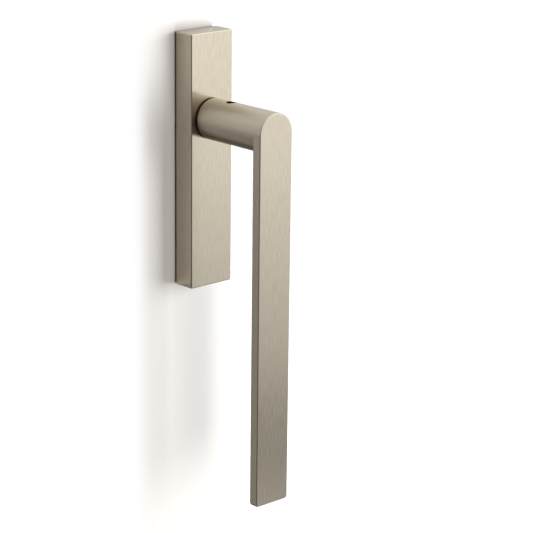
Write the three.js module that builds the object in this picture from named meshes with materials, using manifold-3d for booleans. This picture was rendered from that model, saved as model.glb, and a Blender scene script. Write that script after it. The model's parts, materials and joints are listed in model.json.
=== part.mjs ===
// Long-lever window and sliding-door handle on a narrow rectangular backplate.
// Millimetres, +Z up. The origin is where the square spindle's axis crosses the door's surface (y = 0).
// The handle stands out towards -Y, and its spindle and bolts run into the door towards +Y.
import * as THREE from "three";
import { mergeVertices } from "three/addons/utils/BufferGeometryUtils.js";
import Module from "manifold-3d";

const wasm = await Module();
wasm.setup();

// ---------- driving dimensions ----------
const PLATE_WIDTH = 33;
const PLATE_TOP = 54; // the spindle sits in the upper third of the plate
const PLATE_BOTTOM = -107;
const PLATE_DEPTH = 16; // door surface to the cover's front face
const PLATE_CORNER = 1;
const COVER_WALL = 1.5;
const COVER_FRONT_WALL = 1.8;

const NECK_RADIUS = 13; // also half the grip's width
const LEVER_FRONT = 75; // door surface to the front of the grip
const NECK_GAP = 1.2; // between the neck's end and the cover
const GRIP_THICKNESS = 7.5;
const GRIP_END = -237;
const GRIP_CORNER = 1.8;

const SPINDLE_SIDE = 10;
const SPINDLE_CORNER = 0.6;
const SPINDLE_FRONT = -45;
const SPINDLE_TIP = 55;
const BOLT_SPACING = 80; // M6 bolts, one above and one below the spindle
const BOLT_TIP = 50;

// ---------- derived places ----------
const GASKET_THICKNESS = 0.8;
const GASKET_INSET = 0.3; // from the cover's edge
const GASKET_HOLE_RADIUS = 8.5; // round the spindle
const GASKET_PEG_GAP = 0.3;
const AIR = 0.1; // between faces that rest on each other
const PAST = 1; // how far a cutting shape runs past what it cuts
const BACK = -GASKET_THICKNESS - AIR; // rear plane of the cover and the base
const COVER_FRONT = -PLATE_DEPTH;
const COVER_INNER_FRONT = COVER_FRONT + COVER_FRONT_WALL;
const INNER_HALF_WIDTH = PLATE_WIDTH / 2 - COVER_WALL;
const NECK_END = COVER_FRONT - NECK_GAP;

const SPIGOT_RADIUS = 9.5; // the turned-down end of the neck that runs in the bush
const SPIGOT_END = -7.9;
const SOCKET_SIDE = SPINDLE_SIDE + 0.3;
const SOCKET_DEPTH = SPINDLE_FRONT - 2;

const COVER_HOLE_RADIUS = 11;
const FLANGE_RADIUS = 12.2; // of the guide ring and of the bush
const RUNNING_BORE = SPIGOT_RADIUS + 0.1;
const BUSH_RADIUS = 10.8;
const BUSH_BACK = -8.6;

const BASE_HALF_WIDTH = INNER_HALF_WIDTH - 0.3;
const BASE_END_GAP = 3.4; // room for the clips at the base's ends
const BASE_TOP = PLATE_TOP - BASE_END_GAP;
const BASE_BOTTOM = PLATE_BOTTOM + BASE_END_GAP;
const WEB_FRONT = -4; // front of the base's thin web
const RAIL_WIDTH = 2;
const RAIL_FRONT = -9;
const RAIL_END_GAP = 6;
const RIB_FRONT = RAIL_FRONT + 2;
const RIB_HALF_THICKNESS = 1;
const RIB_HEIGHTS = [-58, -74, -90];
const HOUSING_FRONT = COVER_INNER_FRONT + 0.2;
const HOUSING_HALF_HEIGHT = 19;
const HOUSING_RECESS = 1; // the bush's flange lies in it
const POCKET_FRONT = -8.5;
const POCKET_HALF_WIDTH = 12;
const POCKET_HALF_HEIGHT = 12.5;
const BOSS_RADIUS = 7;
const BOSS_FRONT = -9.5;
const PEG_RADIUS = 6; // pegs that sit in the door's bolt holes
const PEG_TIP = 6;
const BOLT_HOLE_RADIUS = 3.3;
const BOLT_RADIUS = 3;
const BOLT_TIP_RADIUS = 2.2;
const BOLT_TIP_LENGTH = 1;
const BOLT_HEAD_RADIUS = 6;
const BOLT_HEAD_HEIGHT = 3.3;
const BOLT_KEY = 4; // across the flats of the hexagonal socket
const BOLT_HEIGHTS = [BOLT_SPACING / 2, -BOLT_SPACING / 2];

const CAM_BACK = -2.5;
const CAM_FRONT = -6.6; // front of the square part
const CAM_DISC_FRONT = -7.6;
const CAM_DISC_RADIUS = 11.6;
const CAM_HALF_SIDE = 8.2;
const CAM_CORNER_RADIUS = 9.9;
const WASHER_BACK = -7.8;
const WASHER_FRONT = -8.3;
const WASHER_BORE = SPIGOT_RADIUS + 0.3;
const PIN_Y = -4.4; // the cross pin's place along the spindle
const PIN_RADIUS = 1;
const PIN_HALF_LENGTH = 7.9;
const LEAF_FRONT = CAM_FRONT + 0.2;
const LEAF_THICKNESS = 0.6;
const LEAF_HALF_HEIGHT = 13.4;
const LEAF_AT_CAM = CAM_HALF_SIDE + 0.2;
const LEAF_BOW = 0.9;
const LEAF_END_GAP = 0.4; // between a leaf's ends and the slot that holds them

const RETAINER_BACK = -1;
const RETAINER_FRONT = -2.2;
const RETAINER_HALF_WIDTH = 13;
const RETAINER_HALF_HEIGHT = 17.8;
const RETAINER_CORNER = 1.5;
const RETAINER_GAP = 0.3; // all round it in its recess
const RETAINER_HOLE_RADIUS = 7.7;
const SCREW_RADIUS = 1.1;
const SCREW_HEAD_RADIUS = 2.3;
const SCREW_TIP = -7.4;
const SCREW_KEY = 1.5;
const COUNTERSINK_GAP = 0.3;
const RETAINER_SCREWS = [
  { name: "retainer_screw_upper", x: 9, z: 15.8 },
  { name: "retainer_screw_lower", x: -9, z: -15.8 },
];

const GRUB_Y = COVER_FRONT - 18; // the grub screw's place along the neck
const GRUB_HOLE_RADIUS = 3;
const GRUB_RADIUS = 2.8;
const GRUB_LENGTH = 5;
const GRUB_KEY = 3;

const CLIP_HALF_WIDTH = 5;
const CLIP_THICKNESS = 0.5;
const CLIP_GROOVE_DEPTH = 0.7;
const CLIP_GROOVE_FRONT = -7.5;
const CLIP_GROOVE_BACK = -5.5;
// The clip's bend: places along y, and how far each lies beyond the base's end.
const CLIP_BEND = [
  [-4.4, -3.2],
  [-4.4, 0.4],
  [-5.2, 1],
  [-6.5, 2.1],
  [-7.8, 1],
  [-9, 0.2],
];
const RIVET_INSET = 1.7; // from the base's end to a rivet's axis
const RIVET_RADIUS = 1;
const RIVET_HOLE_RADIUS = 1.2;
const RIVET_TIP = -1.2;
const RIVET_HEAD_FRONT = -5.4;
const RIVET_HEAD_BACK = -4.75;
const RIVET_HEAD_RADIUS = 1.9;
const RIVET_CROWN_RADIUS = 1.7;

// ---------- materials ----------
const metal = (color, roughness) =>
  new THREE.MeshStandardMaterial({ color, roughness, metalness: 1 });
const plastic = (color) =>
  new THREE.MeshStandardMaterial({ color, roughness: 0.6, metalness: 0 });
const SATIN_NICKEL = metal(0xd3cab3, 0.34);
const ZINC_CASTING = metal(0x9a9c9c, 0.5);
const BRIGHT_STEEL = metal(0xb9bcbf, 0.3);
const SPRING_STEEL = metal(0x6f7377, 0.4);
const BLACK_SCREW = metal(0x2b2a29, 0.45);
const BLACK_NYLON = plastic(0x161514);
const GASKET_RUBBER = plastic(0x1f1c1a);

// ---------- shapes and solids ----------
const circleSegments = (radius) => Math.max(24, 8 * Math.round(radius / 2));

// A flat outline in x and z, pushed along y from its rear plane to its front plane.
function slab(outline, rear, front) {
  const geometry = new THREE.ExtrudeGeometry(outline, {
    depth: rear - front,
    bevelEnabled: false,
    curveSegments: 8,
  });
  return geometry.rotateX(Math.PI / 2).translate(0, rear, 0);
}

function block(x0, x1, y0, y1, z0, z1) {
  const geometry = new THREE.BoxGeometry(x1 - x0, y1 - y0, z1 - z0);
  return geometry.translate((x0 + x1) / 2, (y0 + y1) / 2, (z0 + z1) / 2);
}

// A round bar along y. The two radii are those at its front and rear ends.
function bar(frontRadius, rearRadius, front, rear, x = 0, z = 0) {
  const segments = circleSegments(Math.max(frontRadius, rearRadius));
  const geometry = new THREE.CylinderGeometry(
    rearRadius,
    frontRadius,
    rear - front,
    segments,
  );
  return geometry.translate(x, (front + rear) / 2, z);
}

function roundedRectangle(x0, x1, z0, z1, radius) {
  const outline = new THREE.Shape();
  outline.moveTo(x0 + radius, z0);
  outline.lineTo(x1 - radius, z0);
  outline.absarc(x1 - radius, z0 + radius, radius, -Math.PI / 2, 0);
  outline.lineTo(x1, z1 - radius);
  outline.absarc(x1 - radius, z1 - radius, radius, 0, Math.PI / 2);
  outline.lineTo(x0 + radius, z1);
  outline.absarc(x0 + radius, z1 - radius, radius, Math.PI / 2, Math.PI);
  outline.lineTo(x0, z0 + radius);
  outline.absarc(x0 + radius, z0 + radius, radius, Math.PI, 1.5 * Math.PI);
  return outline;
}

// A hexagonal prism along the given axis. Half its length is cut into the head as a key's socket.
function hexagon(acrossFlats, length, axis) {
  const radius = acrossFlats / Math.sqrt(3);
  const geometry = new THREE.CylinderGeometry(radius, radius, length, 6);
  return axis === "z" ? geometry.rotateX(Math.PI / 2) : geometry;
}

function solidOf(geometry) {
  const bare = geometry.clone();
  bare.deleteAttribute("normal");
  bare.deleteAttribute("uv");
  const merged = mergeVertices(bare, 1e-4);
  return new wasm.Manifold(
    new wasm.Mesh({
      numProp: 3,
      vertProperties: new Float32Array(merged.attributes.position.array),
      triVerts: new Uint32Array(merged.index.array),
    }),
  );
}

function geometryOf(solid) {
  const mesh = solid.getMesh();
  const geometry = new THREE.BufferGeometry();
  geometry.setAttribute(
    "position",
    new THREE.BufferAttribute(mesh.vertProperties, 3),
  );
  geometry.setIndex(new THREE.BufferAttribute(mesh.triVerts, 1));
  geometry.computeVertexNormals();
  return geometry;
}

// Joins the geometries in add and cuts those in cut out of them.
function carve(add, cut) {
  let solid = solidOf(add[0]);
  for (const geometry of add.slice(1)) solid = solid.add(solidOf(geometry));
  for (const geometry of cut) solid = solid.subtract(solidOf(geometry));
  return geometryOf(solid);
}

const handle = new THREE.Group();

function piece(name, geometry, material) {
  const mesh = new THREE.Mesh(geometry, material);
  mesh.name = name;
  handle.add(mesh);
  return mesh;
}

// ---------- the backplate's pieces ----------
function coverPlate() {
  const half = PLATE_WIDTH / 2;
  const outer = roundedRectangle(-half, half, PLATE_BOTTOM, PLATE_TOP, PLATE_CORNER);
  const x = INNER_HALF_WIDTH;
  const top = PLATE_TOP - COVER_WALL;
  const bottom = PLATE_BOTTOM + COVER_WALL;
  const r = COVER_HOLE_RADIUS;
  const groove = CLIP_HALF_WIDTH + 1;
  const clipGroove = (z0, z1) =>
    block(-groove, groove, CLIP_GROOVE_FRONT, CLIP_GROOVE_BACK, z0, z1);
  return carve(
    [slab(outer, BACK, COVER_FRONT)],
    [
      block(-x, x, COVER_INNER_FRONT, PAST, bottom, top),
      bar(r, r, COVER_FRONT - PAST, COVER_INNER_FRONT + PAST),
      clipGroove(top - PAST, top + CLIP_GROOVE_DEPTH),
      clipGroove(bottom - CLIP_GROOVE_DEPTH, bottom + PAST),
    ],
  );
}

// The lower and upper ends, in x, of a span that lies on one side of the centre line.
const spanOn = (side, near, far) => [side * near, side * far].sort((a, b) => a - b);

// The casting's web, housing, rails, ribs, bosses and pegs, before anything is cut.
function basePlateBody() {
  const x = BASE_HALF_WIDTH;
  const railBottom = BASE_BOTTOM + RAIL_END_GAP;
  const railTop = BASE_TOP - RAIL_END_GAP;
  const body = [
    block(-x, x, WEB_FRONT, BACK, BASE_BOTTOM, BASE_TOP),
    block(-x, x, HOUSING_FRONT, BACK, -HOUSING_HALF_HEIGHT, HOUSING_HALF_HEIGHT),
  ];
  for (const side of [-1, 1]) {
    const [left, right] = spanOn(side, x - RAIL_WIDTH, x);
    body.push(block(left, right, RAIL_FRONT, BACK, railBottom, railTop));
  }
  for (const z of RIB_HEIGHTS) {
    const [low, high] = [z - RIB_HALF_THICKNESS, z + RIB_HALF_THICKNESS];
    body.push(block(-x, x, RIB_FRONT, BACK, low, high));
  }
  for (const z of BOLT_HEIGHTS) {
    body.push(bar(BOSS_RADIUS, BOSS_RADIUS, BOSS_FRONT, BACK, 0, z));
    body.push(bar(PEG_RADIUS, PEG_RADIUS, BACK - PAST, PEG_TIP, 0, z));
  }
  return body;
}

// The pocket for the cam, the seats of the bush and the retainer, and a slot for each leaf.
function bearingPockets() {
  const w = POCKET_HALF_WIDTH;
  const h = POCKET_HALF_HEIGHT;
  const retainerX = RETAINER_HALF_WIDTH + RETAINER_GAP;
  const retainerZ = RETAINER_HALF_HEIGHT + RETAINER_GAP;
  const bush = BUSH_RADIUS + AIR;
  const flange = FLANGE_RADIUS + AIR;
  const slotZ = LEAF_HALF_HEIGHT + LEAF_END_GAP;
  const slotNear = LEAF_AT_CAM + LEAF_THICKNESS - AIR;
  const slotFar = LEAF_AT_CAM + LEAF_BOW + LEAF_THICKNESS + LEAF_END_GAP;
  const pockets = [
    block(-w, w, POCKET_FRONT, PAST, -h, h),
    block(-retainerX, retainerX, RETAINER_FRONT - AIR, PAST, -retainerZ, retainerZ),
    bar(bush, bush, HOUSING_FRONT - PAST, POCKET_FRONT + PAST),
    bar(flange, flange, HOUSING_FRONT - PAST, HOUSING_FRONT + HOUSING_RECESS),
  ];
  for (const side of [-1, 1]) {
    const [left, right] = spanOn(side, slotNear, slotFar);
    pockets.push(block(left, right, LEAF_FRONT - AIR, PAST, -slotZ, slotZ));
  }
  return pockets;
}

function fastenerHoles() {
  const holes = [];
  for (const z of BOLT_HEIGHTS) {
    const r = BOLT_HOLE_RADIUS;
    const head = BOLT_HEAD_RADIUS + COUNTERSINK_GAP;
    holes.push(bar(r, r, BOSS_FRONT - PAST, PEG_TIP + PAST, 0, z));
    holes.push(bar(head, r, BOSS_FRONT, BOSS_FRONT + BOLT_HEAD_HEIGHT, 0, z));
  }
  for (const { x, z } of RETAINER_SCREWS) {
    const r = SCREW_RADIUS + 2 * AIR;
    holes.push(bar(r, r, SCREW_TIP - 2 * AIR, PAST, x, z));
  }
  for (const z of [BASE_TOP - RIVET_INSET, BASE_BOTTOM + RIVET_INSET]) {
    const r = RIVET_HOLE_RADIUS;
    holes.push(bar(r, r, WEB_FRONT - PAST, BACK + PAST, 0, z));
  }
  return holes;
}

function basePlate() {
  return carve(basePlateBody(), [...bearingPockets(), ...fastenerHoles()]);
}

function sealingGasket() {
  const half = PLATE_WIDTH / 2 - GASKET_INSET;
  const bottom = PLATE_BOTTOM + GASKET_INSET;
  const top = PLATE_TOP - GASKET_INSET;
  const outline = roundedRectangle(-half, half, bottom, top, PLATE_CORNER);
  const hole = (r, z) => bar(r, r, -GASKET_THICKNESS - PAST, PAST, 0, z);
  const pegHoles = BOLT_HEIGHTS.map((z) => hole(PEG_RADIUS + GASKET_PEG_GAP, z));
  const sheet = slab(outline, 0, -GASKET_THICKNESS);
  return carve([sheet], [hole(GASKET_HOLE_RADIUS, 0), ...pegHoles]);
}

// A flanged sleeve that the lever's spigot runs in.
function flangedSleeve(flangeFront, flangeBack, sleeveRadius, sleeveBack) {
  const flange = bar(FLANGE_RADIUS, FLANGE_RADIUS, flangeFront, flangeBack);
  const sleeve = bar(sleeveRadius, sleeveRadius, flangeFront, sleeveBack);
  const bore = bar(RUNNING_BORE, RUNNING_BORE, flangeFront - PAST, sleeveBack + PAST);
  return carve([flange, sleeve], [bore]);
}

// A bowed leaf of spring steel that presses on one flat of the cam.
function detentLeaf(side) {
  const steps = 12;
  const inner = [];
  for (let i = 0; i <= steps; i++) {
    const z = LEAF_HALF_HEIGHT * ((2 * i) / steps - 1);
    const x = LEAF_AT_CAM + LEAF_BOW * (z / LEAF_HALF_HEIGHT) ** 2;
    inner.push(new THREE.Vector2(side * x, z));
  }
  const outer = inner.map((p) => new THREE.Vector2(p.x + side * LEAF_THICKNESS, p.y));
  const outline = new THREE.Shape([...inner, ...outer.reverse()]);
  return slab(outline, CAM_BACK, LEAF_FRONT);
}

function detentRetainer() {
  const w = RETAINER_HALF_WIDTH;
  const h = RETAINER_HALF_HEIGHT;
  const r = RETAINER_HOLE_RADIUS;
  const outline = roundedRectangle(-w, w, -h, h, RETAINER_CORNER);
  const hole = SCREW_RADIUS + COUNTERSINK_GAP;
  const sink = SCREW_HEAD_RADIUS + COUNTERSINK_GAP;
  const holes = RETAINER_SCREWS.map(({ x, z }) =>
    bar(hole, sink, RETAINER_FRONT, RETAINER_BACK, x, z),
  );
  return carve(
    [slab(outline, RETAINER_BACK, RETAINER_FRONT)],
    [bar(r, r, RETAINER_FRONT - PAST, RETAINER_BACK + PAST), ...holes],
  );
}

function retainerScrew(x, z) {
  const r = SCREW_RADIUS;
  return carve(
    [
      bar(r, SCREW_HEAD_RADIUS, RETAINER_FRONT, RETAINER_BACK, x, z),
      bar(r, r, SCREW_TIP, RETAINER_FRONT + 0.3, x, z),
    ],
    [hexagon(SCREW_KEY, 1.4, "y").translate(x, RETAINER_BACK, z)],
  );
}

// A spring strip riveted to one end of the base, whose nose snaps into the cover's groove.
function coverClip(end, side) {
  const along = CLIP_BEND.map(([y, beyond]) => new THREE.Vector2(y, end + side * beyond));
  const t = CLIP_THICKNESS / 2;
  const offset = (sign) =>
    along.map((p, i) => {
      const before = along[Math.max(i - 1, 0)];
      const after = along[Math.min(i + 1, along.length - 1)];
      const run = after.clone().sub(before).normalize();
      return new THREE.Vector2(p.x - sign * t * run.y, p.y + sign * t * run.x);
    });
  const outline = new THREE.Shape([...offset(1), ...offset(-1).reverse()]);
  const geometry = new THREE.ExtrudeGeometry(outline, {
    depth: 2 * CLIP_HALF_WIDTH,
    bevelEnabled: false,
  });
  // The strip's profile is drawn in y and z, so local x, y and z become y, z and x.
  const turn = new THREE.Matrix4().makeBasis(
    new THREE.Vector3(0, 1, 0),
    new THREE.Vector3(0, 0, 1),
    new THREE.Vector3(1, 0, 0),
  );
  geometry.applyMatrix4(turn).translate(-CLIP_HALF_WIDTH, 0, 0);
  const r = RIVET_HOLE_RADIUS;
  const [holeFront, holeBack] = [RIVET_HEAD_FRONT - PAST, WEB_FRONT + PAST];
  return carve([geometry], [bar(r, r, holeFront, holeBack, 0, end - side * RIVET_INSET)]);
}

function clipRivet(end, side) {
  const z = end - side * RIVET_INSET;
  const shank = bar(RIVET_RADIUS, RIVET_RADIUS, RIVET_HEAD_BACK - AIR, RIVET_TIP, 0, z);
  const head = bar(
    RIVET_CROWN_RADIUS,
    RIVET_HEAD_RADIUS,
    RIVET_HEAD_FRONT,
    RIVET_HEAD_BACK,
    0,
    z,
  );
  return carve([shank, head], []);
}

function fixingBolt(z) {
  const r = BOLT_RADIUS;
  const headEnd = BOSS_FRONT + BOLT_HEAD_HEIGHT;
  const shankEnd = BOLT_TIP - BOLT_TIP_LENGTH;
  return carve(
    [
      bar(BOLT_HEAD_RADIUS, r, BOSS_FRONT, headEnd, 0, z),
      bar(r, r, headEnd - 0.5, shankEnd, 0, z),
      bar(r, BOLT_TIP_RADIUS, shankEnd, BOLT_TIP, 0, z),
    ],
    [hexagon(BOLT_KEY, 5, "y").translate(0, BOSS_FRONT, z)],
  );
}

// ---------- the pieces that turn ----------
function lever() {
  const grip = roundedRectangle(-NECK_RADIUS, NECK_RADIUS, GRIP_END, 0, GRIP_CORNER);
  const gripRear = -LEVER_FRONT + GRIP_THICKNESS;
  const gripBar = slab(grip, gripRear, -LEVER_FRONT);
  // The bar's upper corners lie inside the neck, so this block squares them off up to the axis.
  const shoulder = block(
    -NECK_RADIUS,
    NECK_RADIUS,
    -LEVER_FRONT,
    gripRear,
    -2 * GRIP_CORNER,
    0,
  );
  const neck = bar(NECK_RADIUS, NECK_RADIUS, -LEVER_FRONT, NECK_END);
  const spigot = bar(SPIGOT_RADIUS, SPIGOT_RADIUS, NECK_END - PAST, SPIGOT_END);
  const half = SOCKET_SIDE / 2;
  const socket = block(-half, half, SOCKET_DEPTH, PAST, -half, half);
  const grubHole = new THREE.CylinderGeometry(
    GRUB_HOLE_RADIUS,
    GRUB_HOLE_RADIUS,
    NECK_RADIUS,
    32,
  );
  grubHole.rotateX(Math.PI / 2).translate(0, GRUB_Y, NECK_RADIUS / 2 + 4);
  return carve([neck, gripBar, shoulder, spigot], [socket, grubHole]);
}

function grubScrew() {
  const foot = SPINDLE_SIDE / 2 + AIR;
  const body = new THREE.CylinderGeometry(GRUB_RADIUS, GRUB_RADIUS, GRUB_LENGTH, 32);
  body.rotateX(Math.PI / 2).translate(0, GRUB_Y, foot + GRUB_LENGTH / 2);
  const socket = hexagon(GRUB_KEY, 5, "z").translate(0, GRUB_Y, foot + GRUB_LENGTH);
  return carve([body], [socket]);
}

// A round bar along x through the cam and the spindle.
function crossBar(radius, halfLength) {
  const geometry = new THREE.CylinderGeometry(radius, radius, 2 * halfLength, 16);
  return geometry.rotateZ(Math.PI / 2).translate(0, PIN_Y, 0);
}

function spindle() {
  const half = SPINDLE_SIDE / 2;
  const outline = roundedRectangle(-half, half, -half, half, SPINDLE_CORNER);
  const pinHole = crossBar(PIN_RADIUS + AIR, SPINDLE_SIDE);
  return carve([slab(outline, SPINDLE_TIP, SPINDLE_FRONT)], [pinHole]);
}

// A disc with a square behind it. The leaves sit on the square's flats every quarter turn.
function detentCam() {
  const half = CAM_HALF_SIDE;
  const square = block(-half, half, CAM_FRONT - 0.5, CAM_BACK, -half, half);
  const r = CAM_CORNER_RADIUS;
  const round = bar(r, r, CAM_FRONT - PAST, CAM_BACK + PAST);
  const lobes = solidOf(square).intersect(solidOf(round));
  const disc = bar(CAM_DISC_RADIUS, CAM_DISC_RADIUS, CAM_DISC_FRONT, CAM_FRONT);
  const hole = SOCKET_SIDE / 2;
  const [holeFront, holeBack] = [CAM_DISC_FRONT - PAST, CAM_BACK + PAST];
  const squareHole = block(-hole, hole, holeFront, holeBack, -hole, hole);
  const pinHole = crossBar(PIN_RADIUS + AIR, CAM_DISC_RADIUS);
  const solid = lobes.add(solidOf(disc)).subtract(solidOf(squareHole));
  return geometryOf(solid.subtract(solidOf(pinHole)));
}

function thrustWasher() {
  return carve(
    [bar(CAM_DISC_RADIUS, CAM_DISC_RADIUS, WASHER_FRONT, WASHER_BACK)],
    [bar(WASHER_BORE, WASHER_BORE, WASHER_FRONT - PAST, WASHER_BACK + PAST)],
  );
}

piece("cover_plate", coverPlate(), SATIN_NICKEL);
piece("base_plate", basePlate(), ZINC_CASTING);
piece("sealing_gasket", sealingGasket(), GASKET_RUBBER);
piece(
  "guide_ring",
  flangedSleeve(
    NECK_END + 2 * AIR,
    COVER_FRONT - AIR,
    COVER_HOLE_RADIUS - AIR,
    COVER_INNER_FRONT - AIR,
  ),
  BLACK_NYLON,
);
piece(
  "bearing_bush",
  flangedSleeve(
    HOUSING_FRONT + AIR,
    HOUSING_FRONT + HOUSING_RECESS - AIR,
    BUSH_RADIUS,
    BUSH_BACK,
  ),
  BLACK_NYLON,
);
piece("thrust_washer", thrustWasher(), BRIGHT_STEEL);
piece("detent_leaf_left", detentLeaf(-1), SPRING_STEEL);
piece("detent_leaf_right", detentLeaf(1), SPRING_STEEL);
piece("detent_retainer", detentRetainer(), BRIGHT_STEEL);
for (const { name, x, z } of RETAINER_SCREWS) {
  piece(name, retainerScrew(x, z), BRIGHT_STEEL);
}
piece("cover_clip_upper", coverClip(BASE_TOP, 1), SPRING_STEEL);
piece("cover_clip_lower", coverClip(BASE_BOTTOM, -1), SPRING_STEEL);
piece("clip_rivet_upper", clipRivet(BASE_TOP, 1), BRIGHT_STEEL);
piece("clip_rivet_lower", clipRivet(BASE_BOTTOM, -1), BRIGHT_STEEL);
piece("fixing_bolt_upper", fixingBolt(BOLT_HEIGHTS[0]), BRIGHT_STEEL);
piece("fixing_bolt_lower", fixingBolt(BOLT_HEIGHTS[1]), BRIGHT_STEEL);

piece("lever", lever(), SATIN_NICKEL);
piece("grub_screw", grubScrew(), BLACK_SCREW);
piece("spindle", spindle(), BRIGHT_STEEL);
piece("spindle_pin", crossBar(PIN_RADIUS, PIN_HALF_LENGTH), SPRING_STEEL);
piece("detent_cam", detentCam(), ZINC_CASTING);

export default handle;
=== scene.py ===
# %% [markdown]
# # A long lever handle for a sliding door
#
# The real handle is a hollow plated cover on a zinc base, with one long plated lever that turns in it.
# All of its beauty is in plain flat faces, small even edge rounds and a fine brushed nickel finish,
# so this lesson spends its effort on exact edges, clean normals and one good metal.
# The CAD model gives every size and place. Nothing here moves it or makes it larger.

# %% Load the CAD frame
import json
import math

import bmesh
import bpy
from mathutils import Euler, Matrix, Vector


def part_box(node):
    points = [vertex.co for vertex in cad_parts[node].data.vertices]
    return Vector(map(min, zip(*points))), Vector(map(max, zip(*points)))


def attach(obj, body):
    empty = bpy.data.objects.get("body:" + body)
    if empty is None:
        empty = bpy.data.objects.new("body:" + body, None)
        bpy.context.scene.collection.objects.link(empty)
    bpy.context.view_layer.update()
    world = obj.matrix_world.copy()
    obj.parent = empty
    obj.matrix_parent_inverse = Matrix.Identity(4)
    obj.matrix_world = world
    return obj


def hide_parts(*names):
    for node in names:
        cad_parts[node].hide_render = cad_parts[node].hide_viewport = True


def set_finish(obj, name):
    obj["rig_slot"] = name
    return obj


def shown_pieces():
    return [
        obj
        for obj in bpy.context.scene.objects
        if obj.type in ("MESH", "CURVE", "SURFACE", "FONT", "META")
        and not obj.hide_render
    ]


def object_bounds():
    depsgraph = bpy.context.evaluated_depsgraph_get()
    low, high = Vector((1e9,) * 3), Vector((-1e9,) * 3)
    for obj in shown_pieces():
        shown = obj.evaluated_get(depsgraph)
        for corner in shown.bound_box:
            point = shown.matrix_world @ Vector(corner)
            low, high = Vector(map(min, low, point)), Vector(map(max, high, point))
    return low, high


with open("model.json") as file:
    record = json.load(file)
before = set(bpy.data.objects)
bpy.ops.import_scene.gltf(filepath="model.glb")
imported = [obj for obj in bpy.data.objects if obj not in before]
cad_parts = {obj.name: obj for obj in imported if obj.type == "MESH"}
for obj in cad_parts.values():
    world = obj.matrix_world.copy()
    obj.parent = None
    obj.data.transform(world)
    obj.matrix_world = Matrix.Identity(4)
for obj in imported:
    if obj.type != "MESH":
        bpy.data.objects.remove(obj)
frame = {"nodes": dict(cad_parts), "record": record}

cad_low, cad_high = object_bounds()
MM = 0.001
print("CAD box in mm:", [round(v / MM, 1) for v in (*cad_low, *cad_high)])

# %% [markdown]
# ## Working by hand, in code
#
# Every piece starts as a primitive and is shaped in edit mode. An edit mode operator acts on whatever
# is selected, so three small helpers do what a hand does first: take hold of one object, pick some of
# its faces or edges by where they are, and finish it with smooth shading that keeps flat faces flat.

# %% Helpers for picking and shaping
SQUARE_ON = 0.99
SHARP_ANGLE = math.radians(50)
WELD_GAP = 0.001 * MM
FLAT_ANGLE = math.radians(2)


def take(piece):
    """Selects this object alone and makes it the active one."""
    if bpy.context.mode != "OBJECT":
        bpy.ops.object.mode_set(mode="OBJECT")
    bpy.ops.object.select_all(action="DESELECT")
    piece.select_set(True)
    bpy.context.view_layer.objects.active = piece
    return piece


def pick(piece, kind, test):
    """In edit mode, selects the faces, edges or vertices that pass the test, and returns how many."""
    take(piece)
    bpy.ops.object.mode_set(mode="EDIT")
    bpy.ops.mesh.select_mode(type=kind)
    bpy.ops.mesh.select_all(action="DESELECT")
    mesh = bmesh.from_edit_mesh(piece.data)
    group = {"FACE": mesh.faces, "EDGE": mesh.edges, "VERT": mesh.verts}[kind]
    chosen = [part for part in group if test(part)]
    for part in chosen:
        part.select_set(True)
    mesh.select_flush_mode()
    bmesh.update_edit_mesh(piece.data)
    return len(chosen)


def every(part):
    """True for any part of a mesh."""
    return True


def faces_rear(face):
    """True for a face that looks along +Y, toward the door."""
    return face.normal.y > SQUARE_ON


def leave():
    """Goes back to object mode."""
    bpy.ops.object.mode_set(mode="OBJECT")


def apply_place(piece):
    """Puts the object's place, turn and scale into its mesh."""
    take(piece)
    bpy.ops.object.transform_apply(location=True, rotation=True, scale=True)
    return piece


def apply_modifier(piece, kind, **settings):
    """Adds one modifier with these settings and applies it."""
    take(piece)
    modifier = piece.modifiers.new(kind.title(), kind)
    for name, value in settings.items():
        setattr(modifier, name, value)
    bpy.ops.object.modifier_apply(modifier=modifier.name)
    return piece


def round_sharp_edges(piece, width, segments=2):
    """Bevels every edge that is sharper than SHARP_ANGLE."""
    return apply_modifier(
        piece,
        "BEVEL",
        width=width,
        segments=segments,
        limit_method="ANGLE",
        angle_limit=SHARP_ANGLE,
    )


def finished_copy(name, cad_name, width):
    """A copy of a CAD mesh, merged into whole faces, with its sharp edges rounded."""
    piece = bpy.data.objects.new(name, frame["nodes"][cad_name].data.copy())
    bpy.context.collection.objects.link(piece)
    pick(piece, "VERT", every)
    bpy.ops.mesh.remove_doubles(threshold=WELD_GAP)
    bpy.ops.mesh.dissolve_limited(angle_limit=FLAT_ANGLE)
    leave()
    round_sharp_edges(piece, width)
    return finish_normals(piece)


def cut(piece, tool, operation="DIFFERENCE"):
    """Cuts the tool out of the piece, or joins it on, and deletes the tool."""
    apply_modifier(piece, "BOOLEAN", operation=operation, solver="EXACT", object=tool)
    bpy.data.objects.remove(tool)
    return piece


def finish_normals(piece, angle=32):
    """Smooth shading over the rounds. Big flat faces keep their own normal."""
    take(piece)
    bpy.ops.object.shade_smooth_by_angle(angle=math.radians(angle))
    apply_modifier(piece, "WEIGHTED_NORMAL", keep_sharp=True, weight=100)
    return piece


def count(piece):
    """Says how many triangles a piece has."""
    piece.data.calc_loop_triangles()
    print(f"{piece.name}: {len(piece.data.loop_triangles)} triangles")
    return piece


# %% Helpers for primitives
PAST = 1 * MM
PARALLEL = 0.999
ALONG_Y = (math.radians(90), 0, 0)
ALONG_X = (0, math.radians(90), 0)


def box_piece(name, low, high):
    """A box between two corners, in metres."""
    bpy.ops.object.select_all(action="DESELECT")
    centre = (Vector(low) + Vector(high)) / 2
    bpy.ops.mesh.primitive_cube_add(size=1, location=centre)
    piece = bpy.context.object
    piece.name = name
    piece.scale = Vector(high) - Vector(low)
    return apply_place(piece)


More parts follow.
